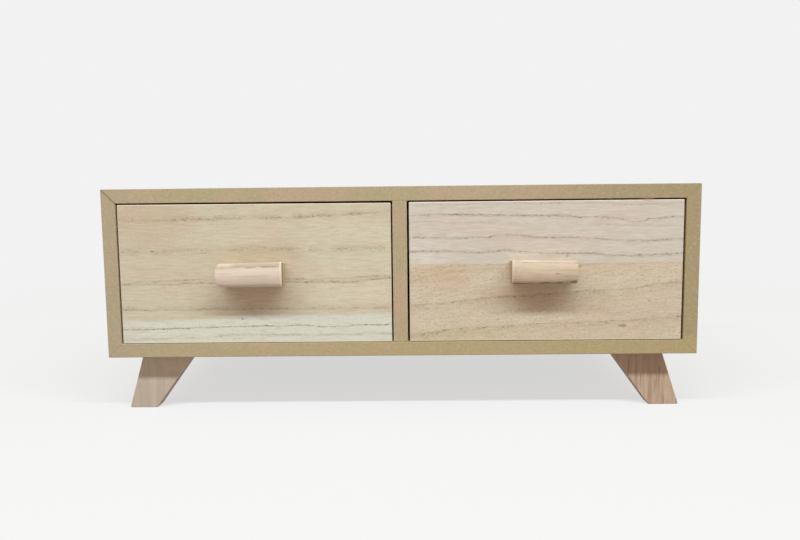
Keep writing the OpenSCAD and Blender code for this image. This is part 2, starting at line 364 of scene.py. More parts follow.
# The case: four mitred fibreboards and a divider. Pin heads stay flush in them, so the boards' faces
# lie a hair below the heads.
caseShape = {
    "edge": 0.35,        # rounding of the front edges
    "rearEdge": 0.1,     # and of the rear ones
    "corner": 0.8,       # rounding of the case's long outer edges
    "shy": 0.08,         # how far the faces lie below the pin heads
    "closed": 0.15,      # how much of the front edges' rounding the glued mitres take
    "open": 0.3,         # and the one mitre that shows as a line, at the upper left
    "panelCorner": 0.4,  # rounding of the back panel's corners
    "panelEdge": 0.3,    # rounding of its rear edges
    "panelSeat": 0.05,   # and of the edges against the case
    # the burr hangs from the lower front edge of the top board; it starts inset behind the board's face
    # and root above its underside, and each waver is a wave's height, turns in radians and start
    "burr": {"x": 152.8, "width": 9.4, "drop": 0.55, "depth": 1.6, "inset": 0.35, "root": 0.2,
             "wavers": [(0.16, 17, 0), (0.1, 31, 1)], "steps": 32, "arcSteps": 10, "crispAngle": 60},
}


def mitredOutline(length, reach, thickness, corner):
    # the inner edge, a mitre at 45 degrees, an eighth of a circle, and the outer edge at height reach
    eighth = np.radians(np.linspace(45, 90, cornerSteps + 1))
    right = np.stack([
        length / 2 - corner + corner * np.cos(eighth), reach - corner + corner * np.sin(eighth)
    ], axis=1)
    left = (right * [-1, 1])[::-1]
    inner = [[thickness - length / 2, reach - thickness], [length / 2 - thickness, reach - thickness]]
    return np.concatenate([inner, right, left])


def quarterTurned(points, quarters):
    # (x, y) becomes (-y, x) with each quarter turn
    cos, sin = [(1, 0), (0, 1), (-1, 0), (0, -1)][quarters % 4]
    return np.array(points, float) @ np.array([[cos, sin], [-sin, cos]])


def makeCase(look, finish, panelFinish):
    shy, edge, rearEdge = look["shy"], look["edge"], look["rearEdge"]
    width, height = caseHigh[0] - caseLow[0], caseHigh[2] - caseLow[2]
    centre = [caseMiddle[0], caseMiddle[2]]
    closed, opened = look["closed"], look["open"]
    # each board is the top board's outline after one more quarter turn: its length, how far its
    # outer face lies from the opposite one, and what its mitres take of the rounding
    boards = {
        "top_board": (width, height, closed, opened),
        "left_side_board": (height, width, opened, closed),
        "bottom_board": (width, height, closed, closed),
        "right_side_board": (height, width, closed, closed),
    }
    for quarters, (node, (length, across, *shares)) in enumerate(boards.items()):
        outline = mitredOutline(length - 2 * shy, across / 2 - shy, boardThickness - 2 * shy, look["corner"])
        mitres = quarterTurned([[1, -1], [-1, -1]], quarters)
        piece = carriedSolid(
            "mitred_" + node, quarterTurned(outline, quarters) + centre, frontView, caseLow[1],
            caseHigh[1], edge, rearEdge, held=zip(mitres, shares)
        )
        standsFor(piece, node, finish)

    low, high = boxOf("centre_divider")
    outline = rectangle([low[0], low[2] - 2 * shy], [high[0], high[2] + 2 * shy])
    piece = carriedSolid("housed_divider", outline, frontView, low[1], high[1], edge, rearEdge)
    standsFor(piece, "centre_divider", finish)

    low, high = boxOf("back_panel")
    outline = softened(rectangle([low[0], low[2]], [high[0], high[2]]), look["panelCorner"])
    piece = carriedSolid(
        "pinned_back_panel", outline, frontView, low[1], high[1] - shy, look["panelSeat"], look["panelEdge"]
    )
    standsFor(piece, "back_panel", panelFinish)


def makeBurr(burr, finish):
    # a ragged sliver left by the saw: half an ellipse in section, whose size swells from nothing
    # with the square root of a half sine wave and back, and wavers by two faster waves
    steps, arc = np.linspace(0, 1, burr["steps"] + 1), np.linspace(0, np.pi, burr["arcSteps"] + 1)
    along, around = np.meshgrid(steps, arc, indexing="ij")
    tip = 0.002          # within this share of the length from a tip it shrinks no further
    swell = np.sqrt(np.sin(np.pi * np.clip(along, tip, 1 - tip)))
    waver = 1 + sum(height * np.sin(along * turns + start) for height, turns, start in burr["wavers"])
    boardLow = boxOf("top_board")[0]
    points = np.stack([
        burr["x"] + (along - 0.5) * burr["width"],
        boardLow[1] + burr["inset"] + burr["depth"] / 2 * (1 - np.cos(around) * swell),
        boardLow[2] + burr["root"] - (burr["drop"] + burr["root"]) * np.sin(around) * swell * waver,
    ], axis=2)
    piece = smoothed(strungSolid("sawn_burr", points), burr["crispAngle"])
    piece.data.materials.append(finish)
    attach(piece, "case")


legShape = {
    "edge": 0.45,        # rounding of the edges round the front and rear faces
    "corner": 0.8,       # rounding of the foot's corners
    "seatShare": 0.1,    # how much of the edges' rounding the leg's top takes
    "slim": 1.3,         # how much narrower the left legs' feet are sawn, on their outer side
}


def makeLeg(node, look, finish):
    # the slanted outline runs through the foot and top corners of the node's own mesh
    mesh = frame["nodes"][node].data
    points = np.empty(len(mesh.vertices) * 3)
    mesh.vertices.foreach_get("co", points)
    points = points.reshape(-1, 3) / millimetre
    low, high = points.min(axis=0), points.max(axis=0)
    level = 0.01         # how far from its lowest or highest point a face still counts as level
    foot = points[points[:, 2] < low[2] + level][:, 0]
    top = points[points[:, 2] > high[2] - level][:, 0]
    seat = high[2] + caseShape["shy"]
    slim = look["slim"] if "left" in node else 0.0
    corners = [[foot.min() + slim, low[2]], [foot.max(), low[2]], [top.max(), seat], [top.min(), seat]]
    outline = softened(corners, [look["corner"], look["corner"], 0, 0])
    piece = carriedSolid(
        "tapered_" + node, outline, frontView, low[1], high[1], look["edge"], look["edge"],
        held=[((0, 1), look["seatShare"])]
    )
    standsFor(piece, node, finish)


drawerShape = {
    "edge": 0.5,         # rounding of a front's outer edges
    "glue": 0.06,        # rounding at the right front's glue line
    "side": 0.3,         # rounding of the thin boards behind, along their length
    "end": 0.25,         # and at their ends
    "shy": 0.08,         # how far those boards' faces lie below their pin heads
    "sag": 0.3,          # how much lower the left front's top edge is at its right end
    "trim": 0.35,        # how much narrower the right front is than its place, at each side
    "foot": 0.2,         # rounding of the fronts' lower edges
    "leftDrop": 0.22,    # how much nearer the fronts lie to the case floor than the clearance says
    "rightDrop": 0.1,
}


def makeFront(node, side, name, finish, easeLow, easeHigh, drop=0.0, trim=0.0, warp=None):
    # the plan of a front is a wide bar with a narrower one behind it: the steps are its rebates
    low, high = boxOf(node)
    sideLow, sideHigh = boxOf(side)
    rebate = sideLow[1]
    inner = sideHigh[0] - low[0]
    corners = [
        [low[0] + trim, low[1]], [high[0] - trim, low[1]], [high[0] - trim, rebate],
        [high[0] - inner, rebate], [high[0] - inner, high[1]], [low[0] + inner, high[1]],
        [low[0] + inner, rebate], [low[0] + trim, rebate],
    ]
    # the inner corners of the rebates stay sharp, and the outer ones are rounder than the ends' edges
    # by a tenth, so that the outline doesn't fold where it is drawn in
    outer = np.array([1, 1, 1, 0, 1, 1, 0, 1])
    outline = softened(corners, 1.1 * drawerShape["edge"] * outer)
    piece = carriedSolid(name, outline, planView, low[2] - drop, high[2], easeLow, easeHigh, warp=warp)
    standsFor(piece, node, finish)


def makeThinBoard(node, name, view, finish, shy=(0, 0, 0)):
    # a board with softened edges; shy draws its faces in along x, y and z
    low, high = boxOf(node)
    low, high = low + np.array(shy), high - np.array(shy)
    across, up, path = np.abs(view).argmax(axis=1)
    outline = softened(rectangle([low[across], low[up]], [high[across], high[up]]), drawerShape["side"])
    end = drawerShape["end"]
    piece = carriedSolid(name, outline, view, low[path], high[path], end, end)
    standsFor(piece, node, finish)


def makeDrawerBox(drawer, woodFinish, panelFinish):
    shy = drawerShape["shy"]
    for part in ("left_side", "right_side"):
        makeThinBoard(f"{drawer}_drawer_{part}", f"{drawer}_box_{part}", sideView, woodFinish, (shy, 0, 0))
    makeThinBoard(f"{drawer}_drawer_back", f"{drawer}_box_back", sideView, woodFinish)
    makeThinBoard(f"{drawer}_drawer_bottom", f"{drawer}_box_bottom", planView, panelFinish, (0, 0, shy))


def saggingTop(node, sag):
    # lowers a front's points by sag * a * u, where a runs from 0 at its left end to 1 at its right one,
    # and u from 0 at its lower edge to 1 at its upper one
    low, high = boxOf(node)

    def warp(points):
        across = (points[..., 0] - low[0]) / (high[0] - low[0])
        up = (points[..., 2] - low[2]) / (high[2] - low[2])
        points[..., 2] -= sag * across * up
        return points
    return warp


handleShape = {
    "crest": 0.02,       # how high the front's crest lies, as a share of half the height
    "topEdge": 1.0,      # rounding along the front's upper edge
    "bottomEdge": 2.0,   # and along its lower edge
    "taper": 1.4,        # how much lower the top is at the rear, and how much higher the underside
    "arcSteps": 7,       # faces round each of those edges
    "frontSteps": 11,    # faces between them
    "endSteps": 6,       # faces in the rounding of an end
    "crispAngle": 35,    # edges that turn by more than this, in degrees, stay crisp
    # bulge: how far the front's edges lie behind its crest; lift: how worn the underside is;
    # trim: how much shorter the handle is at its left end; rise: how much higher than sawn its top
    # lies at its left and right ends; ends: the rounding of each, along, in depth and in height
    "left_handle": {"bulge": 1.7, "lift": 0.1, "trim": 0.5, "rise": (-0.2, 0.8),
                    "ends": ((2.4, 0.8, 4.0), (0.8, 0.6, 0.8))},
    "right_handle": {"bulge": 2.2, "lift": 0.5, "trim": 1.0, "rise": (0.5, -0.1),
                     "ends": ((1.0, 0.8, 1.2), (1.3, 1.0, 1.3))},
}


def handleBox(node):
    # a handle's box without what is trimmed off its left end
    low, high = boxOf(node)
    low[0] += handleShape[node]["trim"]
    return low, high


def makeHandle(node, look, finish):
    # The section is a bar that narrows towards its rear, with rounded front edges. Its front is drawn
    # back by bulge * (h - crest)^2, where h runs from -1 at the lower edge to 1 at the upper one, and
    # what lies behind the front by less and less. At an end the path runs on by along * sin t while the
    # section shrinks towards the middle of its rear, by (depth, height) * (1 - cos t).
    low, high = handleBox(node)
    own = look[node]
    bottom, taper = low[2] + own["lift"], look["taper"]
    topEdge, bottomEdge = look["topEdge"], look["bottomEdge"]
    between = np.linspace(high[2] - topEdge, bottom + bottomEdge, look["frontSteps"] + 1)[1:-1]
    corners = [[low[1], bottom], [high[1], bottom + taper], [high[1], high[2] - taper], [low[1], high[2]]]
    corners += [[low[1], height] for height in between]
    section = softened(corners, [bottomEdge, 0, 0, topEdge] + [0] * len(between), look["arcSteps"])
    middle = np.array([high[1], (bottom + high[2]) / 2])
    reach = np.array([high[1] - low[1], (high[2] - bottom) / 2])
    share = (high[1] - section[:, 0]) / reach[0]
    section[:, 0] += own["bulge"] * ((section[:, 1] - middle[1]) / reach[1] - look["crest"]) ** 2 * share

    t = np.linspace(np.pi / 2, 0, look["endSteps"] + 1)
    (leftRun, *leftRound), (rightRun, *rightRound) = own["ends"]
    drawnIn = np.concatenate([np.outer(1 - np.cos(t), leftRound), np.outer(1 - np.cos(t[::-1]), rightRound)])
    travel = np.concatenate([
        low[0] + leftRun * (1 - np.sin(t)), high[0] - rightRun * (1 - np.sin(t[::-1]))
    ])
    flat = middle + (section - middle) * (1 - drawnIn[:, None] / reach)
    travel = np.broadcast_to(travel[:, None], flat.shape[:2])
    rise = np.interp(travel, [low[0], high[0]], own["rise"])
    height = flat[..., 1] + rise * (flat[..., 1] - bottom) / (high[2] - bottom)
    piece = strungSolid("sanded_" + node, np.stack([travel, flat[..., 0], height], axis=2))
    standsFor(smoothed(piece, look["crispAngle"]), node, finish)


fibreboardLook = {
    "khaki": "#b4a27d", "tan": "#bca284", "yellow": "#b69f72", "olive": "#a5906a", "grey": "#b19e82",
    "speck": "#716044", "pale": "#cabb9a", "arris": "#a0947a",
    # where along x the boards turn olive, grey and yellow, how far above the case's underside the
    # yellow fades, and between which heights dirt comes into the open mitre
    "oliveSpan": (30.0, 175.0), "greySpan": (-150.0, -184.0), "yellowSpan": (-140.0, -20.0),
    "yellowRise": (14.0, 8.0), "dirtRise": (120.0, 130.0),
}


def fibreboardFinish(look):
    # pressed fibre: soft blotches of khaki and tan, a fine mottle, and a few dark bark specks
    shading = newShading("case fibreboard")
    x, _, z = spot = shading.spot()
    blotch = noise(spot, (34, 40, 22), shift=4.0)
    tint = blend(ramp(blotch, 0.40, 0.62), look["khaki"], look["tan"])
    tint = blend(ramp(x, *look["oliveSpan"], 0.0, 0.85), tint, look["olive"])
    tint = blend(ramp(x, *look["greySpan"], 0.0, 0.7), tint, look["grey"])
    yellow = ramp(z - caseLow[2], *look["yellowRise"], 0.0, 0.7)
    tint = blend(yellow * ramp(x, *look["yellowSpan"]), tint, look["yellow"])
    mottle = noise(spot, (0.8, 0.8, 0.8), detail=3.0, roughness=0.7)
    tint = blend(ramp(mottle, 0.28, 0.6, 0.32, 0.0), tint, look["speck"])
    fibre = noise(spot, (2.2, 2.2, 1.2))
    tint = blend(ramp(fibre, 0.50, 0.72, 0.0, 0.25), tint, look["pale"])
    speck = noise(spot, (1.5, 1.5, 1.2), detail=1.0, shift=37.0)
    tint = blend(ramp(speck, 0.71, 0.77, 0.0, 0.5), tint, look["speck"])
    rim = shading.beyond(spot, faceOf("bottom_board", "top_board"))
    tint = blend(ramp(rim, -1.1, 0.0, 0.0, 0.55), tint, look["arris"])
    mitre = abs(x - caseLow[0] + z - caseHigh[2])      # 0 on the diagonal through the upper left corner
    dirt = ramp(mitre, 0.2, 1.0, 0.6, 0.0) * ramp(z, *look["dirtRise"])
    tint = blend(dirt, tint, look["speck"])
    return shading.finish(tint, ramp(mottle, 0.3, 0.7, 0.62, 0.82), mottle + speck * 0.5, 0.05)


backPanelLook = {"light": "#b29a70", "dark": "#9c8259", "speck": "#6d5738"}
drawerBottomLook = {"light": "#b59d74", "dark": "#a0865d", "speck": "#6d5738"}


def thinPanelFinish(name, look):
    # hardboard: darker and denser, with short fibres lying every way
    shading = newShading(name)
    spot = shading.spot()
    cloud = noise(spot, (25, 25, 25), detail=3.0)
    fibre = noise(spot, (0.5, 2.4, 0.9), detail=3.0, roughness=0.65)
    cross = noise(spot, (2.4, 0.5, 0.9), detail=3.0, roughness=0.65, shift=11.0)
    mixed = ramp(cloud * 0.4 + (fibre + cross) * 0.5, 0.5, 0.9)
    tint = blend(mixed, look["dark"], look["light"])
    speck = noise(spot, (1.6, 1.6, 1.6), detail=1.0, shift=5.0)
    tint = blend(ramp(speck, 0.68, 0.76, 0.0, 0.5), tint, look["speck"])
    return shading.finish(tint, ramp(fibre, 0.3, 0.7, 0.5, 0.7), (fibre + cross) * 0.5, 0.08)


# Growth rings of the three front boards, as the (x, z) points that each ring's edge passes through.
# dark and width belong to the line along that edge, and pores is how thickly they lie beside it,
# thinning out over the distances above and below.
leftFrontRings = [
    {"path": [(-176, 121.7), (-136, 121.5), (-110, 122.2), (-61, 122.5), (-33, 124.0), (-8, 124.9)],
     "dark": 0.6, "width": 0.9, "pores": 0.85, "above": 4.5, "below": 2.4},
    {"path": [(-176, 102.4), (-154, 102.2), (-130, 102.6), (-86, 102.9), (-27, 102.9), (-8, 104.3)],
     "dark": 0.2, "width": 0.8, "pores": 0.75, "above": 4.5, "below": 5.5},
    {"path": [(-176, 81.4), (-163, 83.0), (-150, 83.6), (-117, 84.2), (-44, 84.4), (-19, 85.6), (-8, 85.9)],
     "dark": 0.6, "width": 0.8, "pores": 0.8, "above": 0.8, "below": 2.4},
    {"path": [(-176, 81.5), (-139, 81.5), (-117, 82.0), (-58, 82.1), (-29, 82.0), (-18, 83.4), (-8, 84.0)],
     "dark": 0.85, "width": 0.8, "pores": 0.9, "above": 2.8, "below": 0.8},
    {"path": [(-176, 65.4), (-147, 65.2), (-97, 65.5), (-42, 65.5), (-8, 65.5)],
     "dark": 0.5, "width": 0.8, "pores": 0.8, "above": 4.5, "below": 1.6},
    {"path": [(-176, 52.8), (-166, 52.9), (-138, 53.6), (-101, 54.4), (-64, 54.7), (-43, 54.0), (-27, 54.8),
              (-8, 55.0)],
     "dark": 1.2, "width": 0.7, "pores": 0.3, "above": 0.8, "below": 0.8},
    {"path": [(-176, 46.0), (-152, 46.9), (-131, 47.3), (-95, 49.0), (-65, 48.7), (-8, 49.1)],
     "dark": 0.3, "width": 0.8, "pores": 0.6, "above": 1.5, "below": 1.8},
]
rightUpperRings = [
    {"path": [(6, 129.4), (53, 129.8), (123, 129.4), (147, 128.5), (176, 129.0)],
     "dark": 0.5, "width": 0.8, "pores": 0.6, "above": 0.8, "below": 1.2},
    {"path": [(6, 122.9), (31, 123.4), (70, 122.5), (99, 122.1), (115, 120.9), (129, 120.5), (139, 119.1),
              (146, 117.8), (154, 119.6), (176, 120.5)],
     "dark": 1.15, "width": 0.9, "pores": 0.9, "above": 0.6, "below": 2.6},
    {"path": [(6, 119.2), (45, 118.4), (100, 117.0), (176, 114.8)],
     "dark": 0.25, "width": 0.7, "pores": 0.5, "above": 1.2, "below": 1.2},
    {"path": [(6, 109.4), (40, 108.9), (55, 109.2), (62, 110.4), (74, 109.9), (83, 108.8), (117, 108.0),
              (142, 106.4), (176, 107.0)],
     "dark": 0.9, "width": 0.8, "pores": 0.9, "above": 1.4, "below": 2.6},
    {"path": [(6, 100.6), (25, 100.9), (57, 99.8), (66, 100.7), (77, 100.1), (90, 98.8), (117, 98.6),
              (135, 97.1), (176, 98.2)],
     "dark": 0.9, "width": 0.8, "pores": 0.9, "above": 1.4, "below": 2.6},
]
rightLowerRings = [
    {"path": [(6, 83.5), (13, 87.0), (20, 90.0), (28, 91.2), (45, 91.9)],
     "dark": 0.35, "width": 0.8, "pores": 0.3, "above": 0.6, "below": 2.0},
    {"path": [(6, 81.0), (16, 84.5), (30, 87.5), (60, 89.5)],
     "dark": 0.25, "width": 0.8, "pores": 0.5, "above": 1.5, "below": 2.0},
    {"path": [(6, 66.6), (31, 68.9), (59, 71.7), (93, 73.4), (123, 75.6), (144, 76.4), (154, 78.1),
              (164, 79.7), (176, 80.3)],
     "dark": 0.55, "width": 0.9, "pores": 0.85, "above": 1.0, "below": 8.0},
    {"path": [(6, 48.4), (18, 49.5), (30, 51.7), (62, 53.2), (81, 54.6), (124, 55.6), (161, 57.8),
              (176, 59.2)],
     "dark": 0.65, "width": 0.9, "pores": 0.9, "above": 0.8, "below": 8.0},
]


def ringMarks(shading, along, height, rings):
    # how much a point belongs to the line along a ring's edge, and how thickly pores lie round it
    line, crowd = 0.0, 0.0
    for ring in rings:
        above = height - shading.course(along, ring["path"])
        line = shading.most(line, ramp(abs(above), 0.1, ring["width"], ring["dark"], 0.0))
        thinning = ramp(above, 0.0, ring["above"], ring["pores"], 0.0)
        crowd = shading.most(crowd, thinning * ramp(above, -ring["below"], 0.0))
    return line, crowd


def evenMarks(shading, height, spacing):
    # rings at an even spacing: the height, kept above 0, is folded over and over
    folded = shading.math("PINGPONG", height + 1000.0, spacing / 2)
    return ramp(folded, 0.1, 0.8, 0.8, 0.0), ramp(folded, 0.0, 2.2, 0.6, 0.0)


def paleWoodFinish(name, look, directions=(0, 1, 2)):
    # Light plain-sawn wood. directions are the axes along the grain, through the board and across the
    # grain. A soft dark line runs along each growth ring. Each pore or fleck is dark where a stretched
    # noise passes a threshold, which is lower near a ring, so they crowd there.
    shading = newShading(name)
    spot = shading.spot()
    along, through, across = (spot[axis] for axis in directions)
    place = (along, through, across - along * look["slope"])
    sway = noise(place, (14, 9, 9)) - 0.5
    tremble = noise(place, (3.0, 2.0, 2.0), detail=4.0, roughness=0.65, shift=9.0) - 0.5
    level = across + sway * 1.3 + tremble * 1.6
    if "rings" in look:
        line, crowd = ringMarks(shading, along, level, look["rings"])
    else:
        line, crowd = evenMarks(shading, level, look["spacing"])
    breaks = noise(place, (10, 5, 3), shift=21.0)
    line = line * ramp(breaks, 0.34, 0.6, 0.5, 1.0)
    crowd = shading.most(line * 0.7, crowd * ramp(breaks, 0.36, 0.6, 0.4, 1.0))

    patch = noise(place, (34, 20, 9), shift=look["shift"])
    tint = blend(ramp(patch, 0.38, 0.62), look["warm"], look["cool"])
    if "sapwood" in look:
        above = level - shading.course(along, look["sapwood"]["path"])
        tint = blend(ramp(above, -1.8, 1.4, 1.0, 0.0), tint, look["sapwood"]["tint"])
    tint = patched(tint, spot, look.get("washes", []), sway * 1.2, 0.1, 1.6)
    streak = noise(place, (8, 5, 0.8), shift=6.0)
    tint = blend(ramp(streak, 0.34, 0.5, 0.34, 0.0), tint, look["streak"])
    tint = blend(ramp(streak, 0.52, 0.68, 0.0, 0.3), tint, look["pale"])
    tint = blend(crowd * 0.4, tint, look["haze"])

    fleck = noise(place, (2.6, 2.0, 0.6), roughness=0.6, shift=31.0)
    tint = blend(line * ramp(fleck, 0.38, 0.62, 0.06, 0.62), tint, look["ring"])
    crowd = shading.most(crowd, look["speckle"])
    threshold = 0.70 - crowd * 0.2
    fleckDark = ramp(fleck, threshold, threshold + 0.1)
    pore = noise(place, (1.7, 0.9, 0.28), detail=1.0, shift=41.0)
    threshold = 0.68 - crowd * 0.17
    poreDark = ramp(pore, threshold, threshold + 0.08)
    tint = blend(poreDark * (crowd * 0.3 + 0.28), tint, look["pore"])
    tint = blend(fleckDark * (crowd * 0.4 + 0.3), tint, look["ring"])
    tint = patched(tint, spot, look.get("marks", []), tremble * 2.0, 0.3, 1.3)
    if "face" in look:
        rim = ramp(shading.beyond(spot, look["face"]), -0.8, -0.1, 0.0, 0.55)
        tint = blend(rim, tint, look["rim"])
    relief = 1.0 - (poreDark + fleckDark) * 0.5
    return shading.finish(tint, ramp(streak, 0.3, 0.7, 0.55, 0.68), relief, 0.06)


# In each look, face and rim are a whole front and the colour of its worn outermost millimetre, speckle
# is how thickly pores lie away from the rings, slope how much the grain climbs towards the right, and
# shift picks the place in the noise that warm and cool come from. Washes are broad patches, marks small.
# The box wood has no rings of its own, but a spacing of them.
leftFrontLook = {
    "warm": "#cdbaa1", "cool": "#cdc0a6", "streak": "#baaa90", "haze": "#b0a07f", "pore": "#8f8064",
    "pale": "#e0d3bd", "ring": "#7d6e56", "rings": leftFrontRings, "speckle": 0.3, "slope": 0.0,
    "shift": 15.0, "rim": "#dccbb5", "face": faceOf("left_front_board"),
    "sapwood": {"path": [(-176, 58.5), (-151, 58.9), (-123, 59.7), (-94, 61.4), (-32, 61.8), (-5, 61.9)],
                "tint": "#d6d3c2"},
    "washes": [
        (-160, 122, 32, 16, 0.7, "#c5ac90"), (-150, 98, 40, 20, 0.35, "#cbb8a2"),
        # of the next two washes, the one at x -88 and z 98.5 is painted shade with a painted warm reflection
        # from the handle, just above the left handle
        (-25, 102, 35, 26, 0.5, "#d7cbb1"), (-88, 98.5, 27, 7, 0.6, "#c4a98c"),
        # the wash at x -86 and z 74 is painted shade: it warms the shadow under the left handle
        (-86, 74, 24, 8, 0.4, "#c4a98c"), (-112, 66, 20, 5, 0.3, "#b9a686"),
        (-172, 51, 9, 9, 0.5, "#cfc2b6"), (-30, 74, 36, 7, 0.4, "#dccfb5"),
    ],
    "marks": [(-99.2, 59.2, 0.9, 0.6, 0.6, "#7f7056"), (-154.3, 102.2, 1.5, 0.6, 0.6, "#77654d")],
}
rightFront = {"rim": "#e2cfbb", "face": faceOf("right_front_lower_board", "right_front_upper_board")}
rightUpperLook = {
    "warm": "#d0bdae", "cool": "#cfc2b2", "streak": "#bfac9c", "haze": "#bcab98", "pore": "#9c8978",
    "pale": "#e6dacc", "ring": "#8a7564", "rings": rightUpperRings, "speckle": 0.15, "slope": 0.0,
    "shift": 27.0, **rightFront,
    "washes": [
        (15, 100, 16, 9, 0.5, "#dcd3c8"), (85, 106, 28, 10, 0.4, "#cbbcae"),
        (143, 100, 20, 9, 0.4, "#d0c8b6"),
    ],
    "marks": [
        (148, 97.3, 1.6, 0.8, 0.6, "#857462"), (103.5, 97.2, 0.8, 1.3, 0.5, "#9a8873"),
        (152.8, 130.9, 4.5, 0.6, 0.5, "#8d7656"),
    ],
}
rightLowerLook = {
    "warm": "#d1bba1", "cool": "#d0bfa5", "streak": "#bba78c", "haze": "#b5a284", "pore": "#907b5e",
    "pale": "#e1d2bc", "ring": "#84705a", "rings": rightLowerRings, "speckle": 0.55, "slope": 0.07,
    "shift": 3.0, **rightFront,
    "washes": [
        (26, 86, 22, 6, 0.55, "#caad8b"), (35, 47, 44, 5, 0.5, "#cbb98f"),
        # the wash at x 82 and z 72 is painted shade: it warms the shadow under the right handle
        (150, 60, 30, 14, 0.35, "#c8b19a"), (82, 72, 22, 9, 0.6, "#c9a788"),
    ],
    "marks": [
        (138.3, 53, 2.8, 1, 0.6, "#84705a"), (71, 71.8, 1.1, 0.7, 0.5, "#84705a"),
        (111.5, 90.7, 0.9, 0.7, 0.6, "#8a7358"),
    ],
}
boxWoodLook = {
    "warm": "#cdb99e", "cool": "#cfc0a5", "streak": "#baa88c", "haze": "#b0a07f", "pore": "#8f8064",
    "pale": "#e0d3bd", "ring": "#857559", "spacing": 13.0, "speckle": 0.15, "slope": 0.03,
    "shift": 15.0,
}


def legFinish(name, look):
    # straight sawn grain that stands upright in the leg; its top is painted paler, painted light that lifts
    # the shadow the case casts on it
    shading = newShading(name)
    x, y, z = spot = shading.spot()
    lean = noise(spot, (9, 9, 30))
    stood = (x + lean * 2.0, y, z)
    grain = noise(stood, (2.6, 2.6, 45), detail=3.0, roughness=0.55)
    tint = blend(ramp(grain, 0.34, 0.66), look["dark"], look["light"])
    # painted light: the leg's top, in the shadow of the case, is tinted paler
    tint = blend(ramp(z, *look["headRise"], 0.0, look["headShare"]), tint, look["head"])
    line = noise(stood, (1.1, 1.1, 26), detail=1.0, shift=17.0)
    tint = blend(ramp(line, 0.60, 0.74, 0.0, look["lines"]), tint, look["ring"])
    cloud = noise(spot, (9, 9, 9), shift=2.0)
    tint = blend(ramp(cloud, 0.50, 0.68, 0.0, 0.5), tint, look["blush"])
    fleck = noise(spot, (0.45, 0.45, 2.4), shift=4.0)
    tint = blend(ramp(fleck, 0.58, 0.72, 0.0, 0.3), tint, look["ring"])
    return shading.finish(tint, 0.66, grain * (1.0 - fleck * 0.5), 0.09)


leftLegLook = {
    "light": "#c2b1a0", "dark": "#b7a491", "ring": "#998572", "blush": "#c2a998", "lines": 0.35,
    "head": "#d4c1aa", "headShare": 0.8, "headRise": (14.0, 26.0),
}
rightLegLook = {
    "light": "#c3a78f", "dark": "#a5876e", "ring": "#7a6049", "blush": "#b99681", "lines": 0.85,
    "head": "#bea187", "headShare": 0.4, "headRise": (14.0, 26.0),
}


def dowelFinish(name, node, look):
    # straight grain along the dowel, with a darker band along its top over a broken brown line
    shading = newShading(name)
    x, y, z = spot = shading.spot()
    low, high = handleBox(node)
    middle, half = (low + high) / 2, (high - low) / 2
    # aside runs from -1 at the left end to 1 at the right one, and up from -1 at the underside to 1
    # at the top, which leans with the rise at either end
    aside = (x - middle[0]) / half[0]
    riseLeft, riseRight = handleShape[node]["rise"]
    lean = aside * ((riseRight - riseLeft) / 2) + (riseRight + riseLeft) / 2
    up = (z - middle[2] - lean) / half[2]
    sway = noise(spot, (16, 8, 8))
    grain = noise((x, y, z + sway * 1.5), (22, 1.1, 0.9), detail=3.0, roughness=0.6)
    tint = blend(ramp(grain, 0.34, 0.66), look["dark"], look["light"])
    cloud = noise(spot, (11, 9, 7), shift=8.0)
    tint = blend(ramp(cloud, 0.45, 0.65, 0.0, 0.6), tint, look["blush"])
    fleck = noise(spot, (1.8, 0.35, 0.3), shift=13.0)
    tint = blend(ramp(fleck, 0.60, 0.74, 0.0, 0.3), tint, look["line"])

    ridge = up - look["lineUp"] + (sway - 0.5) * 0.10
    strip = ramp(ridge, 0.0, 0.08)
    tint = blend(strip * look["bandShare"], tint, look["band"])
    tint = blend(ramp(abs(ridge), 0.0, 0.3, look["dimShare"], 0.0), tint, look["dim"])
    broken = ramp(noise(spot, (6, 7, 7), detail=1.0, shift=2.0), 0.42, 0.54, 0.3, 1.0)
    line = ramp(abs(ridge), 0.02, 0.08, 0.5, 0.0) * broken
    tint = blend(line, tint, look["line"])
    # glow is a painted highlight on the top band, strongest near glowAt
    glow = ramp(abs(aside - look["glowAt"]), 0.15, 0.35, look["glowShare"], 0.0) * strip
    tint = blend(glow, tint, look["glow"])

    # the underside darkened, painted shade mixed with the wood's own blotches; painted shade along the seam
    # with the front, where the handle meets it; and soil in the marks
    ragged = noise(spot, (3.5, 3, 3), shift=23.0) - 0.5
    under = ramp(up + ragged * 0.3, -0.97, -0.72, look["underShare"], 0.0)
    tint = blend(under, tint, look["soilAndShade"])
    seam = ramp(y - high[1], -4.0, -0.5, 0.0, look["seamShare"])
    tint = blend(seam, tint, look["soilAndShade"])
    soiled = [(*mark, look["soilAndShade"]) for mark in look["marks"]]
    tint = patched(tint, spot, soiled, ragged * 2.0, 0.3, 1.3)

    # paler edges round the sawn ends, partly wear and partly a painted highlight on their rounding; the end
    # faces are darker towards their front edge
    endFace = abs(x - middle[0]) - half[0]
    behind = y - low[1]
    wearAndHighlight = ramp(endFace, -1.2, -0.6) * ramp(aside, -0.5, 0.5, *look["wearAndHighlightShares"])
    tint = blend(wearAndHighlight, tint, look["chamfer"])
    ringlets = noise(spot, (5, 0.7, 0.7), shift=19.0)
    cut = blend(ramp(ringlets, 0.4, 0.62), look["cutLight"], look["cutDark"])
    cut = blend(ramp(behind, 3.0, 10.0, 0.8, 0.0), cut, look["soilAndShade"])
    cutShare = ramp(endFace, -0.35, -0.1) * ramp(behind, 1.8, 3.2)
    tint = blend(cutShare, tint, cut)
    roughness = ramp(grain, 0.3, 0.7, 0.48, 0.62)
    return shading.finish(tint, roughness, grain * (1.0 - fleck * 0.4), 0.05)
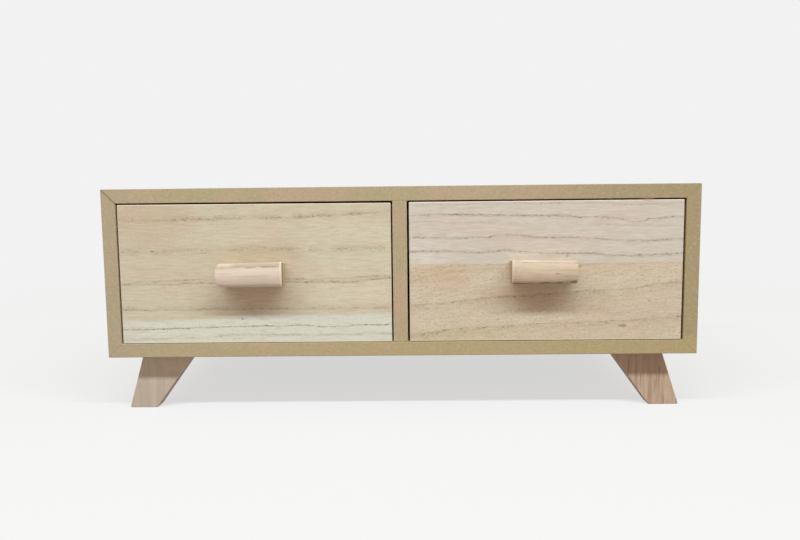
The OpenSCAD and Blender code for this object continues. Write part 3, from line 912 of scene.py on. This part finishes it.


# lineUp and glowAt are places in the units of up and aside, and the shares of the pale end edges are for the
# left and right end
leftHandleLook = {
    "light": "#dfcbb5", "dark": "#d2bda7", "blush": "#e1c9ba", "line": "#9c846a", "band": "#b0967b",
    "bandShare": 0.75, "dim": "#b29c82", "dimShare": 0.4, "lineUp": 0.68, "glow": "#e0ceb4",
    "glowAt": -0.72, "glowShare": 0.4, "chamfer": "#f0dcc2", "cutLight": "#cdb592", "cutDark": "#bda37f",
    "soilAndShade": "#7c6548", "underShare": 0.1, "seamShare": 0.5, "wearAndHighlightShares": (0.3, 0.9),
    "marks": [(-90.4, 92.9, 3.6, 0.5, 0.55), (-79, 93.2, 6, 0.5, 0.5)],
}
rightHandleLook = {
    "light": "#d2ba9f", "dark": "#c2a98e", "blush": "#d6baa8", "line": "#94795e", "band": "#c6ae9a",
    "bandShare": 0.75, "dim": "#b59b80", "dimShare": 0.3, "lineUp": 0.80, "glow": "#dfc6b3",
    "glowAt": -0.45, "glowShare": 0.45, "chamfer": "#dac1a5", "cutLight": "#c6ac8a", "cutDark": "#b59a77",
    "soilAndShade": "#6f573c", "underShare": 0.85, "seamShare": 0.15, "wearAndHighlightShares": (0.9, 0.35),
    "marks": [
        (95, 87.6, 1.7, 0.45, 0.5), (105.8, 82.4, 3.2, 1.1, 0.6), (97, 81.9, 2.2, 1, 0.6),
        (88, 81.8, 3.2, 0.8, 0.55), (73, 81.4, 5, 0.7, 0.5),
    ],
}
steelLook = {"dull": "#b4b6b9", "bright": "#c9cacb"}


def steelFinish(look):
    # bright zinc plate, dulled in small clouds
    shading = newShading("zinc plated steel")
    cloud = noise(shading.spot(), (0.8, 0.8, 0.8), detail=3.0)
    tint = blend(ramp(cloud, 0.35, 0.65), look["dull"], look["bright"])
    return shading.finish(tint, ramp(cloud, 0.3, 0.7, 0.28, 0.45), cloud, 0.01, metallic=1.0)


caseFinish = fibreboardFinish(fibreboardLook)
makeCase(caseShape, caseFinish, thinPanelFinish("back panel board", backPanelLook))
makeBurr(caseShape["burr"], caseFinish)
print("case made")

for side, look in (("left", leftLegLook), ("right", rightLegLook)):
    legWood = legFinish(side + " leg wood", look)
    for end in ("front", "rear"):
        makeLeg(f"{end}_{side}_leg", legShape, legWood)
print("legs made")

edge, glue, trim = drawerShape["edge"], drawerShape["glue"], drawerShape["trim"]
makeFront("left_front_board", "left_drawer_left_side", "planed_left_front",
          paleWoodFinish("left front wood", leftFrontLook), drawerShape["foot"], edge,
          drop=drawerShape["leftDrop"], warp=saggingTop("left_front_board", drawerShape["sag"]))
makeFront("right_front_lower_board", "right_drawer_left_side", "planed_right_front_lower",
          paleWoodFinish("right front lower wood", rightLowerLook), drawerShape["foot"], glue,
          drop=drawerShape["rightDrop"], trim=trim)
makeFront("right_front_upper_board", "right_drawer_left_side", "planed_right_front_upper",
          paleWoodFinish("right front upper wood", rightUpperLook), glue, edge, trim=trim)
boxWood = paleWoodFinish("drawer box wood", boxWoodLook, directions=(1, 0, 2))
bottomFinish = thinPanelFinish("drawer bottom board", drawerBottomLook)
for drawer in ("left", "right"):
    makeDrawerBox(drawer, boxWood, bottomFinish)
print("drawers made")

for side, look in (("left", leftHandleLook), ("right", rightHandleLook)):
    node = side + "_handle"
    makeHandle(node, handleShape, dowelFinish(side + " dowel wood", node, look))
steel = steelFinish(steelLook)
for node, slot in slotOfNode.items():
    if slot == "steel":
        finishes = frame["nodes"][node].data.materials
        finishes.clear()
        finishes.append(steel)
print("handles and fixings finished")

# A wide pale floor that fades into the background, one long strip lamp high in front, and even light
# all round. What the camera sees of the floor is paler than what lights the object from below, and
# the object's shadow on it stays. The floor's lengths are in millimetres, and the lamp's in metres.
studio = {
    "background": "#f2f2f2", "floor": "#e6e3df", "floorBounce": "#aca29b", "lifted": 0.72,
    "floorReach": 30000.0, "floorRoughness": 0.9, "floorSpecular": 0.1, "fadeFrom": 330.0,
    "fadeTo": 900.0, "skyTint": (1.0, 0.79, 0.67, 1), "skyStrength": 0.40,
    "stripLength": 6.0, "stripWidth": 0.22, "stripDistance": 2.6, "stripElevation": 58.8,
    "stripPower": 139.5, "stripTint": (0.82, 0.945, 1.0),
}


def seenRay(shading):
    # 1 for what the camera, a reflection or clear glass shows, 0 for light on its way to a surface
    camera, glossy, clear = (
        shading.add("LightPath", out=f"Is {kind} Ray") for kind in ("Camera", "Glossy", "Transmission")
    )
    return shading.most(camera, shading.most(glossy, clear))


def makeFloor(look):
    # a flat square whose own light takes over from its surface with the distance from the middle
    reach = look["floorReach"]
    corners = rectangle([-reach, -reach], [reach, reach])
    floor = meshPiece("floor", np.column_stack([corners, np.zeros(4)]), [[0, 1, 2, 3]])
    shading = newShading("pale floor")
    x, y, _ = shading.spot()
    distance = shading.math("SQRT", x * x + y * y)
    fade = ramp(distance, look["fadeFrom"], look["fadeTo"], look["lifted"], 1.0)
    surface = shading.tree.nodes["Principled BSDF"]
    seen = seenRay(shading)
    shading.feed(surface, {
        "Base Color": blend(seen, look["floorBounce"], look["floor"]),
        "Roughness": look["floorRoughness"], "Specular IOR Level": look["floorSpecular"],
    })
    glow = shading.add("Emission", values={"Color": look["background"], "Strength": 1.0})
    mixed = shading.add("MixShader", values={
        0: fade * seen, 1: Wire(shading, surface.outputs[0]), 2: glow
    })
    shading.feed(shading.tree.nodes["Material Output"], {"Surface": mixed})
    floor.data.materials.append(shading.owner)


def makeLight(look):
    # the even light of the world, and a long lamp that is aimed at the middle of the case's front
    world = bpy.data.worlds.new("studio")
    scene.world = world
    shading = Shading(world)
    sky = shading.add("Background", values={"Color": look["skyTint"], "Strength": look["skyStrength"]})
    shown = shading.add("Background", values={"Color": look["background"], "Strength": 1.0})
    mixed = shading.add("MixShader", values={0: seenRay(shading), 1: sky, 2: shown})
    shading.feed(shading.tree.nodes["World Output"], {"Surface": mixed})

    aim = Vector((0, caseLow[1], caseMiddle[2])) * millimetre
    tilt = math.radians(look["stripElevation"])
    back = Vector((0, -math.cos(tilt), math.sin(tilt)))
    data = bpy.data.lights.new("strip lamp", "AREA")
    data.shape = "RECTANGLE"
    data.size, data.size_y = look["stripLength"], look["stripWidth"]
    data.energy = look["stripPower"]
    data.color = look["stripTint"]
    lamp = bpy.data.objects.new("strip_lamp", data)
    turn = back.to_track_quat("Z", "Y").to_matrix().to_4x4()
    lamp.matrix_world = Matrix.Translation(aim + back * look["stripDistance"]) @ turn
    scene.collection.objects.link(lamp)


makeFloor(studio)
makeLight(studio)
print("studio lit")
